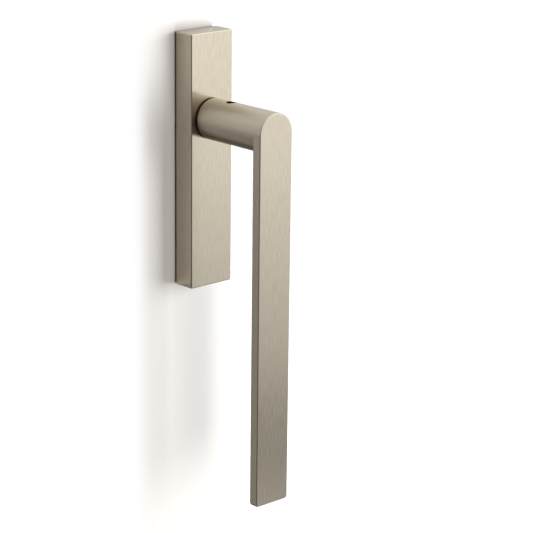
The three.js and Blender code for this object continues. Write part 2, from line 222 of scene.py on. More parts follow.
def bar_piece(name, radius, length, centre, sides, turn):
    """A bar with this many sides, upright until it is turned."""
    bpy.ops.object.select_all(action="DESELECT")
    bpy.ops.mesh.primitive_cylinder_add(
        vertices=sides,
        radius=radius,
        depth=length,
        location=centre,
        rotation=turn,
    )
    piece = bpy.context.object
    piece.name = name
    return apply_place(piece)


def rod_piece(name, radius, front, rear, sides=96, z=0.0):
    """A round bar along Y, from its front end to its rear end, in metres."""
    centre = (0.0, (front + rear) / 2, z)
    return bar_piece(name, radius, rear - front, centre, sides, ALONG_Y)


def is_near(value, target, gap=0.02 * MM):
    """True where two lengths agree to a fiftieth of a millimetre."""
    return abs(value - target) < gap


def edge_runs_along(edge, axis):
    """True for an edge that is parallel to an axis: 0 for X, 1 for Y, 2 for Z."""
    along = edge.verts[1].co - edge.verts[0].co
    return abs(along[axis]) > PARALLEL * along.length


def edge_lies_at(edge, axis, place):
    """True for an edge whose two ends both lie in one plane across an axis."""
    return all(is_near(corner.co[axis], place) for corner in edge.verts)


# %% [markdown]
# ## The cover plate
#
# The real cover is a thin shell, drawn or cast and then brushed along its length. Its corners are
# nearly sharp: a plater rounds them only by what the brushing wheel takes off, a millimetre or
# less. It is modelled as a box whose back is inset and pushed in to leave the walls, because
# that gives even walls and few faces. The edges are rounded first, while they are still simple.

# %% Model the cover plate
COVER_WALL = 1.5 * MM
COVER_FRONT_WALL = 1.8 * MM
COVER_CORNER_ROUND = 1.0 * MM
COVER_FRONT_ROUND = 0.75 * MM
COVER_REAR_ROUND = 1.0 * MM
COVER_HOLE_RADIUS = 11 * MM
COVER_HOLE_DEPTH = 4 * MM

cover_low, cover_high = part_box("cover_plate")
ring_low, ring_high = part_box("guide_ring")
cover = box_piece("cover_shell", cover_low, cover_high)
pick(cover, "EDGE", lambda edge: edge_runs_along(edge, 1))
bpy.ops.mesh.bevel(offset=COVER_CORNER_ROUND, segments=6, affect="EDGES")
pick(cover, "EDGE", lambda edge: edge_lies_at(edge, 1, cover_low.y))
bpy.ops.mesh.bevel(offset=COVER_FRONT_ROUND, segments=5, affect="EDGES")
pick(cover, "EDGE", lambda edge: edge_lies_at(edge, 1, cover_high.y))
bpy.ops.mesh.bevel(offset=COVER_REAR_ROUND, segments=6, affect="EDGES")
pick(cover, "FACE", faces_rear)
bpy.ops.mesh.inset(thickness=COVER_WALL - COVER_REAR_ROUND)
cavity_depth = cover_high.y - cover_low.y - COVER_FRONT_WALL
bpy.ops.mesh.extrude_region_move(
    TRANSFORM_OT_translate={"value": (0, -cavity_depth, 0)}
)
leave()

# Known fault: this cut leaves a closed disc in the cavity, behind the hole.
hole_rear = cover_low.y + COVER_HOLE_DEPTH
cut(cover, rod_piece("hole", COVER_HOLE_RADIUS, cover_low.y - PAST, hole_rear))
finish_normals(cover)
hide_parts("cover_plate")
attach(cover, "backplate")
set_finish(cover, "satin_nickel")
count(cover)

# %% [markdown]
# ## The lever
#
# The real lever is one piece: a round neck as wide as the grip, and a flat bar that hangs from it.
# The neck's surface runs straight on to the grip's front face and makes its half round top. The front
# edges are crisp, and the rear edges, where the fingers close, are rounded much more. The bar is a
# box, and its rear edges are rounded first, so that they run in under the neck and end there as the
# cast ones do. The neck is joined on, and only then is the one crisp edge cut all round the front.

# %% Model the grip's bar
LEVER_RADIUS = 13 * MM
GRIP_THICKNESS = 7.5 * MM
GRIP_END_ROUND = 1.8 * MM
GRIP_FRONT_ROUND = 0.75 * MM
GRIP_REAR_ROUND = 2.2 * MM
NECK_SIDES = 192

lever_low, lever_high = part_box("lever")
grip_rear = lever_low.y + GRIP_THICKNESS
lever = box_piece(
    "lever_body",
    (-LEVER_RADIUS, lever_low.y, lever_low.z),
    (LEVER_RADIUS, grip_rear, 0),
)


def is_bottom_corner(edge):
    """True for the two edges that run from front to rear at the bar's lower end."""
    return edge_runs_along(edge, 1) and edge.verts[0].co.z < -LEVER_RADIUS


def is_rear_edge(edge):
    """True for the edges round the bar's rear face, but not its top edge."""
    return edge_lies_at(edge, 1, grip_rear) and min(end.co.z for end in edge.verts) < -MM


pick(lever, "EDGE", is_bottom_corner)
bpy.ops.mesh.bevel(offset=GRIP_END_ROUND, segments=8, affect="EDGES")
pick(lever, "EDGE", is_rear_edge)
bpy.ops.mesh.bevel(offset=GRIP_REAR_ROUND, segments=10, affect="EDGES")
leave()
print("bar box in mm:", [round(v / MM, 2) for v in lever.dimensions])

# %% Model the neck and join it to the bar
NECK_CHAMFER = 0.4 * MM
SPIGOT_RADIUS = 9.5 * MM
SOCKET_SIDE = 10.3 * MM
NECK_GAP = 1.2 * MM

neck_rear = cover_low.y - NECK_GAP
spigot_length = lever_high.y - neck_rear
neck = rod_piece("neck", LEVER_RADIUS, lever_low.y, neck_rear, sides=NECK_SIDES)
pick(neck, "FACE", faces_rear)
bpy.ops.mesh.bevel(offset=NECK_CHAMFER, segments=2, affect="EDGES")
pick(neck, "FACE", faces_rear)
bpy.ops.mesh.inset(thickness=LEVER_RADIUS - NECK_CHAMFER - SPIGOT_RADIUS)
bpy.ops.mesh.extrude_region_move(
    TRANSFORM_OT_translate={"value": (0, spigot_length, 0)}
)
leave()
cut(lever, neck, "UNION")
print("lever with its neck, box in mm:", [round(v / MM, 2) for v in lever.dimensions])

# %% Cut the crisp edge round the front
JOIN_GAP = 0.002 * MM
EXACTLY_FORWARD = -0.999
OUTLINE_ANGLE = 1.0

pick(lever, "VERT", every)
bpy.ops.mesh.remove_doubles(threshold=JOIN_GAP)
pick(lever, "FACE", lambda face: face.normal.y < EXACTLY_FORWARD)
bpy.ops.mesh.dissolve_faces()


def is_front_outline(edge):
    """True for an edge between the flat front and the side all round it. Angles in radians."""
    lies_in_front = edge_lies_at(edge, 1, lever_low.y) and len(edge.link_faces) == 2
    return lies_in_front and edge.calc_face_angle() > OUTLINE_ANGLE


print("edges round the front:", pick(lever, "EDGE", is_front_outline))
bpy.ops.mesh.bevel(offset=GRIP_FRONT_ROUND, segments=6, affect="EDGES")
leave()

# %% Cut the spindle's socket
SOCKET_END_ROOM = 2 * MM
half_socket = SOCKET_SIDE / 2
spindle_low, spindle_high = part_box("spindle")
socket_low = (-half_socket, spindle_low.y - SOCKET_END_ROOM, -half_socket)
cut(lever, box_piece("socket", socket_low, (half_socket, PAST, half_socket)))
print("lever box in mm:", [round(v / MM, 2) for v in lever.dimensions])

# %% Drill the grub screw's hole
GRUB_HOLE_RADIUS = 3 * MM
GRUB_HOLE_MIDDLE = 10.5 * MM
UPRIGHT = (0, 0, 0)

grub_low, grub_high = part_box("grub_screw")
grub_centre = (0, (grub_low.y + grub_high.y) / 2, GRUB_HOLE_MIDDLE)
cut(lever, bar_piece("drill", GRUB_HOLE_RADIUS, LEVER_RADIUS, grub_centre, 64, UPRIGHT))
finish_normals(lever, angle=28)
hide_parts("lever")
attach(lever, "lever")
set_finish(lever, "satin_nickel")
count(lever)

# %% [markdown]
# ## The guide ring and the gasket
#
# A moulded nylon ring fills the gap between the neck and the cover. It shows as a dark brown line,
# and its brown-orange is partly painted shade: the colour of the shaded gap. A thin rubber gasket
# shows as a dark brown line behind the cover. Both are thin, so what the eye reads is their
# rounded edge, and each gets one.

# %% Model the guide ring
RUNNING_BORE = 9.6 * MM
RING_SLEEVE_RADIUS = 10.9 * MM
RING_COVER_GAP = 0.1 * MM
RING_EDGE_ROUND = 0.15 * MM

flange_rear = cover_low.y - RING_COVER_GAP
ring = rod_piece("guide_collar", ring_high.x, ring_low.y, flange_rear)
pick(ring, "FACE", faces_rear)
bpy.ops.mesh.inset(thickness=ring_high.x - RING_SLEEVE_RADIUS)
bpy.ops.mesh.extrude_region_move(
    TRANSFORM_OT_translate={"value": (0, ring_high.y - flange_rear, 0)}
)
leave()
cut(ring, rod_piece("bore", RUNNING_BORE, ring_low.y - PAST, ring_high.y + PAST))
round_sharp_edges(ring, RING_EDGE_ROUND, segments=3)
finish_normals(ring)
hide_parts("guide_ring")
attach(ring, "backplate")
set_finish(ring, "black_nylon")
count(ring)

# %% Model the gasket
PEG_HOLE_RADIUS = 6.3 * MM
SPINDLE_HOLE_RADIUS = 8.5 * MM
GASKET_CORNER_ROUND = 1 * MM
GASKET_EDGE_ROUND = 0.12 * MM

bolt_heights = [
    sum(corner.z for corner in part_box(name)) / 2
    for name in ("fixing_bolt_upper", "fixing_bolt_lower")
]
gasket_low, gasket_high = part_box("sealing_gasket")
gasket = box_piece("gasket_sheet", gasket_low, gasket_high)
pick(gasket, "EDGE", lambda edge: edge_runs_along(edge, 1))
bpy.ops.mesh.bevel(offset=GASKET_CORNER_ROUND, segments=6, affect="EDGES")
leave()
for radius, height in (
    (SPINDLE_HOLE_RADIUS, 0),
    (PEG_HOLE_RADIUS, bolt_heights[0]),
    (PEG_HOLE_RADIUS, bolt_heights[1]),
):
    cut(gasket, rod_piece("punch", radius, gasket_low.y - PAST, PAST, sides=64, z=height))
round_sharp_edges(gasket, GASKET_EDGE_ROUND)
finish_normals(gasket)
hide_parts("sealing_gasket")
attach(gasket, "backplate")
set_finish(gasket, "gasket_rubber")
count(gasket)

# %% [markdown]
# ## The spindle and the bolts
#
# Behind the plate a square steel bar reaches into the door's gear, and two bolts hold the plate on.
# The bar is cold drawn, with its end chamfered so that it finds the gear's hub. The bolts' threads
# are real geometry: one tooth of the thread's profile is turned round the bolt by a Screw modifier,
# which is how a helix is made by hand too. The thread then sits round a plain core.

# %% Model the spindle
SPINDLE_EDGE_ROUND = 0.6 * MM
SPINDLE_END_CHAMFER = 0.8 * MM
PIN_HOLE_RADIUS = 1.1 * MM
PIN_Y = -4.4 * MM
CROSS_DRILL_LENGTH = 30 * MM

spindle = box_piece("spindle_bar", spindle_low, spindle_high)
pick(spindle, "EDGE", lambda edge: edge_runs_along(edge, 1))
bpy.ops.mesh.bevel(offset=SPINDLE_EDGE_ROUND, segments=4, affect="EDGES")
pick(spindle, "FACE", lambda face: abs(face.normal.y) > SQUARE_ON)
bpy.ops.mesh.bevel(offset=SPINDLE_END_CHAMFER, segments=1, affect="EDGES")
leave()
pin_place = (0, PIN_Y, 0)
cut(
    spindle,
    bar_piece("cross_drill", PIN_HOLE_RADIUS, CROSS_DRILL_LENGTH, pin_place, 32, ALONG_X),
)
finish_normals(spindle)
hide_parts("spindle")
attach(spindle, "lever")
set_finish(spindle, "bright_steel")
count(spindle)

# %% Say how to model a bolt's body
BOLT_RADIUS = 3 * MM
BOLT_PITCH = 1 * MM
THREAD_DEPTH = 0.55 * MM
THREAD_LENGTH = 38 * MM
BOLT_HEAD_RADIUS = 6 * MM
BOLT_HEAD_HEIGHT = 3.3 * MM
BOLT_END_CHAMFER = 0.6 * MM
HEAD_OVERLAP = 0.3 * MM
HEX_KEY = 4 * MM
HEX_BAR_LENGTH = 5 * MM


def model_bolt(name, cad_name):
    """The core that the thread sits on, the plain shank and the countersunk socket head."""
    low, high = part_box(cad_name)
    height = (low.z + high.z) / 2
    core_radius = BOLT_RADIUS - THREAD_DEPTH
    thread_start = high.y - THREAD_LENGTH
    bolt = rod_piece(name, core_radius, thread_start - PAST, high.y, sides=48)
    pick(bolt, "FACE", faces_rear)
    bpy.ops.mesh.bevel(offset=BOLT_END_CHAMFER, segments=2, affect="EDGES")
    leave()
    shank_front = low.y + BOLT_HEAD_HEIGHT - HEAD_OVERLAP
    shank = rod_piece("shank", BOLT_RADIUS, shank_front, thread_start, sides=48)
    cut(bolt, shank, "UNION")
    head = rod_piece("head", BOLT_HEAD_RADIUS, low.y, low.y + BOLT_HEAD_HEIGHT, 64)
    pick(head, "FACE", faces_rear)
    taper = BOLT_RADIUS / BOLT_HEAD_RADIUS
    bpy.ops.transform.resize(value=(taper, 1, taper), center_override=(0, 0, 0))
    leave()
    cut(bolt, head, "UNION")
    hex_radius = HEX_KEY / math.sqrt(3)
    cut(bolt, bar_piece("hex_key", hex_radius, HEX_BAR_LENGTH, (0, low.y, 0), 6, ALONG_Y))
    bolt.location.z = height
    apply_place(bolt)
    return bolt


# %% Say how to turn a bolt's thread
CREST_START = 0.36
CREST_END = 0.46
TOOTH_END = 0.82
THREAD_SINK = 0.02 * MM
THREAD_RUN_OUT = 2 * MM
THREAD_LEAD_IN = 0.6 * MM
STEPS_PER_TURN = 28


def model_thread(name, cad_name):
    """One tooth of the thread, turned round the bolt's axis by a Screw modifier."""
    low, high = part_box(cad_name)
    height = (low.z + high.z) / 2
    start = high.y - THREAD_LENGTH
    root = BOLT_RADIUS - THREAD_DEPTH - THREAD_SINK
    bpy.ops.object.select_all(action="DESELECT")
    bpy.ops.mesh.primitive_plane_add(size=1, location=(0, 0, 0))
    thread = bpy.context.object
    thread.name = name
    tooth = [
        (root, 0.0),
        (BOLT_RADIUS, BOLT_PITCH * CREST_START),
        (BOLT_RADIUS, BOLT_PITCH * CREST_END),
        (root, BOLT_PITCH * TOOTH_END),
    ]
    pick(thread, "VERT", every)
    mesh = bmesh.from_edit_mesh(thread.data)
    for corner, (out, along) in zip(mesh.faces[:][0].verts, tooth):
        corner.co = (out, 0, along)
    bmesh.update_edit_mesh(thread.data)
    leave()
    turns = int((THREAD_LENGTH - THREAD_RUN_OUT) / BOLT_PITCH)
    apply_modifier(
        thread,
        "SCREW",
        axis="Z",
        angle=2 * math.pi * turns,
        screw_offset=BOLT_PITCH * turns,
        steps=STEPS_PER_TURN * turns,
        render_steps=STEPS_PER_TURN * turns,
        use_normal_calculate=True,
    )
    thread.rotation_euler = Euler((math.radians(-90), 0, 0))
    thread.location = (0, start + THREAD_LEAD_IN, height)
    apply_place(thread)
    pick(thread, "FACE", every)
    bpy.ops.mesh.normals_make_consistent(inside=False)
    leave()
    return thread


# %% Model both bolts
for place in ("upper", "lower"):
    cad_name = "fixing_bolt_" + place
    bolt = model_bolt("bolt_" + place, cad_name)
    finish_normals(bolt)
    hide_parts(cad_name)
    thread = model_thread("bolt_thread_" + place, cad_name)
    for part in (bolt, thread):
        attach(part, "backplate")
        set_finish(part, "bright_steel")
        count(part)

# %% Model the grub screw
GRUB_EDGE_ROUND = 0.3 * MM
grub = finished_copy("set_screw", "grub_screw", GRUB_EDGE_ROUND)
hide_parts("grub_screw")
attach(grub, "lever")
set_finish(grub, "black_steel")
count(grub)

# %% [markdown]
# ## The pieces inside
#
# The base, the bearing, the cam and their fasteners are hidden by the cover, but they turn up in
# every exploded drawing, so their edges are finished too. Castings, stampings and turned parts all
# have small edge rounds. Each piece starts from a copy of its CAD mesh, because that shape is right:
# the copy's loose triangles are merged into whole faces, and a bevel rounds every sharp edge.

# %% Round the edges of the inner pieces, by these widths in millimetres
INNER_EDGES = {
    "base_plate": 0.25,
    "bearing_bush": 0.15,
    "thrust_washer": 0.08,
    "detent_leaf_left": 0.08,
    "detent_leaf_right": 0.08,
    "detent_retainer": 0.12,
    "retainer_screw_upper": 0.08,
    "retainer_screw_lower": 0.08,
    "cover_clip_upper": 0.08,
    "cover_clip_lower": 0.08,
    "clip_rivet_upper": 0.12,
    "clip_rivet_lower": 0.12,
    "spindle_pin": 0.15,
    "detent_cam": 0.2,
}
body_of_node = {
    name: body
    for body, names in frame["record"]["behaviour"]["bodies"].items()
    for name in names
}
slot_of_node = {
    part["node"]: part["material_slot"] for part in frame["record"]["subparts"]
}
for cad_name, width in INNER_EDGES.items():
    piece = finished_copy(cad_name + "_finished", cad_name, width * MM)
    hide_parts(cad_name)
    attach(piece, body_of_node[cad_name])
    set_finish(piece, slot_of_node[cad_name])
    count(piece)

# %% [markdown]
# ## Materials
#
# Every material is built from nodes that read Object coordinates, so a pattern stays where it is on
# the piece when the lever turns. One helper adds a node with its settings and links. A colour ramp's
# stops are one of its settings.

# %% Helpers for materials


def linear(hex_colour):
    """An sRGB hex colour as the linear values that a shader works in."""
    values = [int(hex_colour[i : i + 2], 16) / 255 for i in (1, 3, 5)]
    return [v / 12.92 if v <= 0.04045 else ((v + 0.055) / 1.055) ** 2.4 for v in values]


def set_stops(colour_ramp, stops):
    """Puts linear colours at these places on a colour ramp."""
    elements = colour_ramp.elements
    while len(elements) < len(stops):
        elements.new(0.5)
    for element, (place, colour) in zip(elements, stops):
        element.position = place
        element.color = (*colour[:3], 1)


def node(tree, kind, settings=None, **links):
    """Adds a node. Settings name its own properties, and links its inputs' values or sources."""
    made = tree.nodes.new(kind)
    for name, value in (settings or {}).items():
        if name == "stops":
            set_stops(made.color_ramp, value)
        else:
            setattr(made, name, value)
    for name, value in links.items():
        key = int(name[1:]) if name[1:].isdigit() else name.replace("_", " ")
        if isinstance(value, bpy.types.NodeSocket):
            tree.links.new(value, made.inputs[key])
        else:
            made.inputs[key].default_value = value
    return made


def new_material(name):
    """An empty material, and the tree to build in."""
    material = bpy.data.materials.new(name)
    material.use_nodes = True
    tree = material.node_tree
    tree.nodes.clear()
    return material, tree


def two_tones(dark, light):
    """The stops of a colour ramp that goes from a dark to a light hex colour."""
    return {"stops": [(0.3, linear(dark)), (0.7, linear(light))]}


# %% [markdown]
# ### Satin brushed nickel
#
# The cover and the lever are nickel plated and then brushed with a fine belt along their length. Warm
# grey-gold reflections, spread sideways by the scratches but hardly at all along them: that is an
# anisotropic shader whose tangent lies across the scratches. The belt's lines are under 0.1 mm wide,
# too fine to show from here, so the pattern is drawn with lines of 0.25 mm, each about 9 mm long.
# The neck is turned and polished on a lathe, so its lines run round it instead.

# %% Say how to build brushed nickel
LINE_WIDTH = 0.25 * MM
LINE_LENGTH = 9 * MM
NICKEL_ROUGHNESS_SWING = 0.03
NICKEL_CLOUDS_PER_METRE = 30
SCRATCH_DEPTH = 0.02 * MM


def brushed_nickel(name, dark, light, line_scale, tangent, roughness):
    """line_scale is the pattern's lines per metre along X, Y and Z, and tangent lies across them."""
    material, tree = new_material(name)
    place = node(tree, "ShaderNodeTexCoord").outputs["Object"]
    stretch = node(tree, "ShaderNodeMapping", Vector=place, Scale=line_scale)
    lines = node(
        tree, "ShaderNodeTexNoise", Vector=stretch.outputs[0], Scale=1, Detail=3
    )
    clouds = node(
        tree,
        "ShaderNodeTexNoise",
        Vector=place,
        Scale=NICKEL_CLOUDS_PER_METRE,
        Detail=2,
    )
    tones = two_tones(dark, light)
    colour = node(tree, "ShaderNodeValToRGB", tones, Fac=lines.outputs[0])
    spread = node(
        tree,
        "ShaderNodeMapRange",
        Value=lines.outputs[0],
        From_Min=0.25,
        From_Max=0.75,
        To_Min=roughness - NICKEL_ROUGHNESS_SWING,
        To_Max=roughness + NICKEL_ROUGHNESS_SWING,
    )
    patches = node(
        tree,
        "ShaderNodeMath",
        {"operation": "MULTIPLY_ADD"},
        _0=clouds.outputs[0],
        _1=0.05,
        _2=spread.outputs[0],
    )
    scratches = node(
        tree,
        "ShaderNodeBump",
        Strength=0.06,
        Distance=SCRATCH_DEPTH,
        Height=lines.outputs[0],
    )
    across = node(tree, "ShaderNodeCombineXYZ", X=tangent[0], Y=tangent[1], Z=tangent[2])
    follow = node(
        tree,
        "ShaderNodeVectorTransform",
        {"vector_type": "VECTOR", "convert_from": "OBJECT", "convert_to": "WORLD"},
        Vector=across.outputs[0],
    )
    metal = node(
        tree,
        "ShaderNodeBsdfPrincipled",
        Base_Color=colour.outputs[0],
        Metallic=1,
        Roughness=patches.outputs[0],
        Anisotropic=0.8,
        Normal=scratches.outputs[0],
        Tangent=follow.outputs[0],
    )
    node(tree, "ShaderNodeOutputMaterial", Surface=metal.outputs[0])
    return material


# %% Plate the cover and the lever
NECK_MARGIN = 0.01 * MM
FRONT_SHARE = 0.9

fine = 1 / LINE_WIDTH
long = 1 / LINE_LENGTH
nickel_flat = brushed_nickel(
    "satin_nickel_belt_brushed", "#aaa291", "#bdb5a5", (fine, fine, long), (1, 1, 0), 0.19
)
nickel_round = brushed_nickel(
    "satin_nickel_turned", "#b1a998", "#b6ae9e", (long, fine, long), (0, 1, 0), 0.3
)
cover.data.materials.clear()
cover.data.materials.append(nickel_flat)
lever.data.materials.clear()
lever.data.materials.append(nickel_flat)
lever.data.materials.append(nickel_round)
for face in lever.data.polygons:
    corners = [lever.data.vertices[index].co for index in face.vertices]
    on_neck = all(math.hypot(end.x, end.z) < LEVER_RADIUS + NECK_MARGIN for end in corners)
    face.material_index = 1 if on_neck and abs(face.normal.y) < FRONT_SHARE else 0
print("faces on the neck:", sum(face.material_index for face in lever.data.polygons))

# %% [markdown]
# ### The other finishes
#
# Zinc plated steel is smooth and cool, with faint cloudy patches. Spring steel is darker, with a
# drawn grain. A zinc casting is dull with a fine skin texture. Nylon and rubber are dark brown, the
# nylon's brown-orange partly painted shade, and they differ in how broad their highlight is: nylon
# is moulded against steel, rubber is rolled.

# %% Say how to build a plain metal
METAL_ROUGHNESS_SWING = 0.06
METAL_CLOUDS_PER_METRE = 120


def plain_metal(name, dark, light, roughness, grain, depth):
    """grain is the pattern's size in metres, and depth its height."""
    material, tree = new_material(name)
    place = node(tree, "ShaderNodeTexCoord").outputs["Object"]
    skin = node(tree, "ShaderNodeTexNoise", Vector=place, Scale=1 / grain, Detail=4)
    clouds = node(
        tree,
        "ShaderNodeTexNoise",
        Vector=place,
        Scale=METAL_CLOUDS_PER_METRE,
        Detail=3,
    )
    tones = two_tones(dark, light)
    colour = node(tree, "ShaderNodeValToRGB", tones, Fac=clouds.outputs[0])
    spread = node(
        tree,
        "ShaderNodeMapRange",
        Value=skin.outputs[0],
        From_Min=0.2,
        From_Max=0.8,
        To_Min=roughness - METAL_ROUGHNESS_SWING,
        To_Max=roughness + METAL_ROUGHNESS_SWING,
    )
    bump = node(
        tree,
        "ShaderNodeBump",
        Strength=0.3,
        Distance=depth,
        Height=skin.outputs[0],
    )
    metal = node(
        tree,
        "ShaderNodeBsdfPrincipled",
        Base_Color=colour.outputs[0],
        Metallic=1,
        Roughness=spread.outputs[0],
        Normal=bump.outputs[0],
    )
    node(tree, "ShaderNodeOutputMaterial", Surface=metal.outputs[0])
    return material


# %% Say how to build dark nylon and rubber
MOULDING_ROUGHNESS_SWING = 0.08
MOULDING_DEPTH = 0.03 * MM
PLASTIC_IOR = 1.53


def dark_moulding(name, dark, light, roughness, grain, specular):
    """grain is the pattern's size in metres, and specular the strength of the highlight."""
    material, tree = new_material(name)
    place = node(tree, "ShaderNodeTexCoord").outputs["Object"]
    skin = node(tree, "ShaderNodeTexNoise", Vector=place, Scale=1 / grain, Detail=3)
    tones = two_tones(dark, light)
    colour = node(tree, "ShaderNodeValToRGB", tones, Fac=skin.outputs[0])
    spread = node(
        tree,
        "ShaderNodeMapRange",
        Value=skin.outputs[0],
        To_Min=roughness - MOULDING_ROUGHNESS_SWING,
        To_Max=roughness + MOULDING_ROUGHNESS_SWING,
    )
    bump = node(
        tree,
        "ShaderNodeBump",
        Strength=0.2,
        Distance=MOULDING_DEPTH,
        Height=skin.outputs[0],
    )
    body = node(
        tree,
        "ShaderNodeBsdfPrincipled",
        Base_Color=colour.outputs[0],
        Roughness=spread.outputs[0],
        IOR=PLASTIC_IOR,
        Specular_IOR_Level=specular,
        Normal=bump.outputs[0],
    )
    node(tree, "ShaderNodeOutputMaterial", Surface=body.outputs[0])
    return material


# %% Give every other piece its finish
finishes = {
    "bright_steel": plain_metal(
        "zinc_plated_steel", "#a9adb2", "#bfc2c6", 0.28, 0.3 * MM, 0.01 * MM
    ),
    "spring_steel": plain_metal(
        "rolled_spring_steel", "#5d6166", "#74787d", 0.36, 0.25 * MM, 0.01 * MM
    ),
    "zinc_casting": plain_metal(
        "zinc_die_casting", "#83868a", "#9a9da0", 0.5, 0.5 * MM, 0.04 * MM
    ),
    # The brown in these tones is partly painted shade: the steel itself is near black, and the brown
    # stands for the shaded hole round the grub screw.
    "black_steel": plain_metal(
        "black_oxide_steel_with_painted_brown_shade", "#46301f", "#553c29", 0.42, 0.3 * MM, 0.01 * MM
    ),
    # The brown-orange of these tones is partly painted shade: it gives the ring the colour of the
    # shaded gap round the neck.
    "black_nylon": dark_moulding(
        "moulded_nylon_with_painted_gap_shade", "#743808", "#86440d", 0.45, 0.2 * MM, 0.2
    ),
    "gasket_rubber": dark_moulding(
        "dark_brown_rubber_sheet", "#5a4737", "#685342", 0.7, 0.3 * MM, 0.3
    ),
}
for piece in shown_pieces():
    if piece not in (cover, lever):
        piece.data.materials.clear()
        piece.data.materials.append(finishes[piece["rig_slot"]])

# %% [markdown]
# ## The setting
#
# The handle is shown as it is used, held by the face of a door. Three pale rectangles in one plane
# stand for that face. They lie only where the shadow falls, to the plate's left and under it, and the
# shadow fades to plain white on its way to their edges: towards the left a painted white glow in the
# lacquer lightens it, and at every edge they fade out to the white behind them. The metal mirrors only
# the one beside the plate, which is why they are three. They can be seen only from the room's side, so
# that the spindle and the bolts are open to view from behind, and they cast no shadow. Under it all is
# a plain pale floor, far enough below that no edge of it shows, and round it a plain white backdrop,
# which only the camera sees: it lights nothing and is mirrored in nothing. Sizes here are in metres.

# %% Make the floor and the door's face
FLOOR_DROP = 0.35
FLOOR_SIZE = 14.0
PANEL_LEFT = -0.073
PANEL_MIDDLE = -0.04
PANEL_RIGHT = 0.014
PANEL_LOW_RIGHT = 0.04
PANEL_TOP = 0.078
PANEL_SPLIT = cover_low.z - 0.002
PANEL_BOTTOM = -0.31
PANEL_GAP = 0.0002
SIDE_FADE = 0.006
END_FADE = 0.02
# Between these two places, going left, a painted white glow takes over from the lacquer.
PAINTED_GLOW_START = -0.032
PAINTED_GLOW_FULL = -0.052
PALE = (*linear("#f2f1ef"), 1)

bpy.ops.object.select_all(action="DESELECT")
floor_z = cad_low.z - FLOOR_DROP
bpy.ops.mesh.primitive_plane_add(size=FLOOR_SIZE, location=(0, 0, floor_z))
floor = bpy.context.object
floor.name = "studio_floor"
floor.visible_glossy = False
floor.visible_diffuse = False
material, tree = new_material("studio_floor_paper")
paper = node(tree, "ShaderNodeBsdfPrincipled", Base_Color=PALE, Roughness=0.9)
node(tree, "ShaderNodeOutputMaterial", Surface=paper.outputs[0])
floor.data.materials.append(material)


def door_part(name, left, right, bottom, top, mirrored):
    """One upright rectangle of the door's face, which the metal mirrors or not."""
    bpy.ops.object.select_all(action="DESELECT")
    bpy.ops.mesh.primitive_plane_add(
        size=1,
        location=((left + right) / 2, PANEL_GAP, (bottom + top) / 2),
        rotation=(math.radians(90), 0, 0),
    )
    part = bpy.context.object
    part.name = name
    part.scale = (right - left, top - bottom, 1)
    part.visible_shadow = False
    part.visible_glossy = mirrored
    return apply_place(part)


door_parts = [
    door_part("door_beside", PANEL_MIDDLE, PANEL_RIGHT, PANEL_SPLIT, PANEL_TOP, True),
    door_part("door_left", PANEL_LEFT, PANEL_MIDDLE, PANEL_SPLIT, PANEL_TOP, False),
    door_part("door_below", PANEL_LEFT, PANEL_LOW_RIGHT, PANEL_BOTTOM, PANEL_SPLIT, False),
]
print("floor at z =", round(floor_z, 3), "m, door parts:", [part.name for part in door_parts])

# %% Lacquer the door's face, with a painted white glow on its left
material, tree = new_material("door_face_lacquer_and_painted_glow")
place = node(tree, "ShaderNodeTexCoord").outputs["Object"]
split = node(tree, "ShaderNodeSeparateXYZ", Vector=place)


def inside(edges):
    """1 inside all the edges. Each is an axis, the place where it starts and where it is whole."""
    mask = 1.0
    for axis, start, whole in edges:
        edge = node(
            tree,
            "ShaderNodeMapRange",
            {"interpolation_type": "SMOOTHERSTEP"},
            Value=split.outputs[axis],
            From_Min=start,
            From_Max=whole,
        )
        product = node(
            tree,
            "ShaderNodeMath",
            {"operation": "MULTIPLY"},
            _0=mask,
            _1=edge.outputs[0],
        )
        mask = product.outputs[0]
    return mask


outline = inside(
    [
        ("X", PANEL_LEFT, PANEL_LEFT + SIDE_FADE),
        ("X", PANEL_LOW_RIGHT, PANEL_LOW_RIGHT - END_FADE),
        ("Z", PANEL_TOP, PANEL_TOP - END_FADE),
        ("Z", PANEL_BOTTOM, PANEL_BOTTOM + END_FADE),
    ]
)
front_only = node(
    tree,
    "ShaderNodeMath",
    {"operation": "SUBTRACT", "use_clamp": True},
    _0=outline,
    _1=node(tree, "ShaderNodeNewGeometry").outputs["Backfacing"],
)
lacquer = node(tree, "ShaderNodeBsdfPrincipled", Base_Color=PALE, Roughness=0.6)
# This emission is a painted glow, not a lamp: mixed in towards the left, it whitens the lacquer so
# that the cast shadow fades out.
white = node(tree, "ShaderNodeEmission", Strength=1.0)
clear = node(tree, "ShaderNodeBsdfTransparent")
painted_glow_blend = node(
    tree,
    "ShaderNodeMixShader",
    _0=inside([("X", PAINTED_GLOW_START, PAINTED_GLOW_FULL)]),
    _1=lacquer.outputs[0],
    _2=white.outputs[0],
)
mixed = node(
    tree,
    "ShaderNodeMixShader",
    _0=front_only.outputs[0],
    _1=clear.outputs[0],
    _2=painted_glow_blend.outputs[0],
)
node(tree, "ShaderNodeOutputMaterial", Surface=mixed.outputs[0])
material.cycles.emission_sampling = "NONE"
for part in door_parts:
    part.data.materials.append(material)
print("lacquer:", len(tree.nodes), "nodes")

# %% Hang a plain white backdrop round it all
BACKDROP_RADIUS = 6.0

